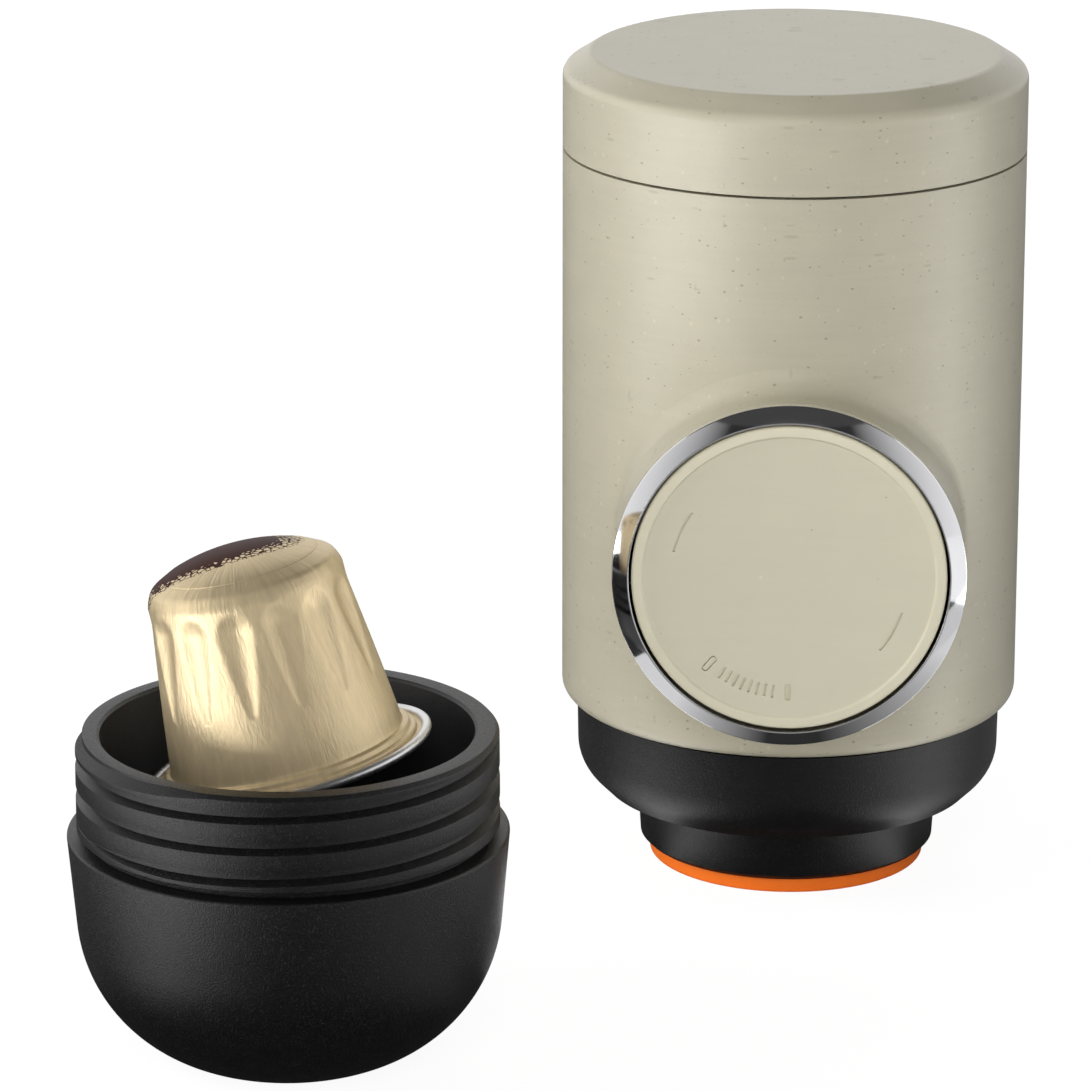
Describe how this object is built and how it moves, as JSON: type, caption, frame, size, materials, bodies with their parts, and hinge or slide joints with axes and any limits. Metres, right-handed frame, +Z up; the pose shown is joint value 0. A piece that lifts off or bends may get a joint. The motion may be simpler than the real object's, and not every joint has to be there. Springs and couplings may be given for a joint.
{
  "type": "handheld manual espresso maker",
  "caption": "Handheld capsule espresso maker with a side piston knob, unscrewing water tank and outlet head, standing beside its threaded cup that holds a coffee capsule.",
  "frame": {"origin": "the middle of the coffee outlet, on the surface that the maker stands on", "axes": "+Z up along the maker's own axis, the piston knob faces -Y, +X is to the right of someone facing the knob; the cup stands in front and to the left"},
  "size_m": [0.1209, 0.1342, 0.1124],
  "materials": {
    "beige_body": "matte moulded plastic with fine dark specks",
    "beige_knob": "smooth satin moulded plastic",
    "chrome_bezel": "polished",
    "black_inner": "plain moulded plastic",
    "black_outer": "fine-grained matte moulded plastic",
    "black_cup": "fine-grained matte moulded plastic",
    "orange_silicone": "matte silicone",
    "clear_pump": "translucent moulded plastic",
    "smoked_tank": "smoked translucent moulded plastic",
    "pale_silicone": "translucent silicone",
    "black_rubber": "matte rubber",
    "steel": "satin stainless",
    "capsule_gold": "satin gold-lacquered aluminium",
    "capsule_foil": "bright rolled foil",
    "ground_coffee": "pressed coffee grounds"
  },
  "bodies": {
    "maker": {"body_shell": "beige_body", "bezel_ring": "chrome_bezel", "guide_sleeve": "black_inner", "base_ring": "black_inner", "tank_socket": "black_inner", "bulkhead": "black_inner", "inlet_filter": "steel", "inlet_hose": "pale_silicone", "inlet_valve": "pale_silicone", "pump_cylinder": "clear_pump", "rod_bush": "black_inner", "lock_collar": "black_inner", "pump_gasket": "pale_silicone", "manifold": "black_inner", "manifold_screws": "steel", "relief_valve": "steel", "outlet_valve": "pale_silicone", "delivery_duct": "black_inner", "pump_saddle": "black_inner", "saddle_screws": "steel", "chamber_carrier": "black_inner", "brew_chamber": "black_inner", "chamber_screws": "steel", "needle_plate": "steel", "chamber_gasket_ring": "pale_silicone", "return_spring": "steel"},
    "piston": {"piston_rod": "steel", "rod_clip": "steel", "piston_head": "black_inner", "piston_seals": "black_rubber"},
    "knob": {"knob_cap": "beige_knob", "knob_skirt": "black_inner"},
    "tank_seal": {"tank_seal_ring": "pale_silicone"},
    "tank": {"tank_cap": "beige_body", "tank_liner": "smoked_tank"},
    "head_seal": {"head_seal_ring": "pale_silicone"},
    "outlet_head": {"outlet_shell": "black_outer", "extraction_plate": "steel", "foot_ring": "orange_silicone", "outlet_spout": "black_inner"},
    "cup": {"cup": "black_cup"},
    "capsule": {"capsule_shell": "capsule_gold", "capsule_foil": "capsule_foil", "coffee_bed": "ground_coffee"}
  },
  "joints": [
    {"name": "piston_slide", "type": "slide", "parent": "maker", "child": "piston", "axis": [0, -1, 0], "range_m": [0, 0.016], "deforming": ["return_spring"]},
    {"name": "knob_turn", "type": "hinge", "parent": "piston", "child": "knob", "pos_m": [0, -0.0396, 0.05105], "axis": [0, -1, 0], "range_deg": [0, 42]},
    {"name": "tank_lift", "type": "slide", "parent": "maker", "child": "tank_seal", "axis": [0, 0, 1], "range_m": [0, 0.035]},
    {"name": "tank_turn", "type": "hinge", "parent": "tank_seal", "child": "tank", "pos_m": [0, 0, 0.0996], "axis": [0, 0, 1], "range_deg": [0, 120]},
    {"name": "head_drop", "type": "slide", "parent": "maker", "child": "head_seal", "axis": [0, 0, -1], "range_m": [0, 0.03]},
    {"name": "head_turn", "type": "hinge", "parent": "head_seal", "child": "outlet_head", "pos_m": [0, 0, 0.02275], "axis": [0, 0, -1], "range_deg": [0, 90]},
    {"name": "cup_lift", "type": "slide", "parent": "maker", "child": "cup", "axis": [0, 0, 1], "range_m": [0, 0.06]},
    {"name": "capsule_lift", "type": "slide", "parent": "cup", "child": "capsule", "axis": [0, 0, 1], "range_m": [0, 0.05]}
  ]
}
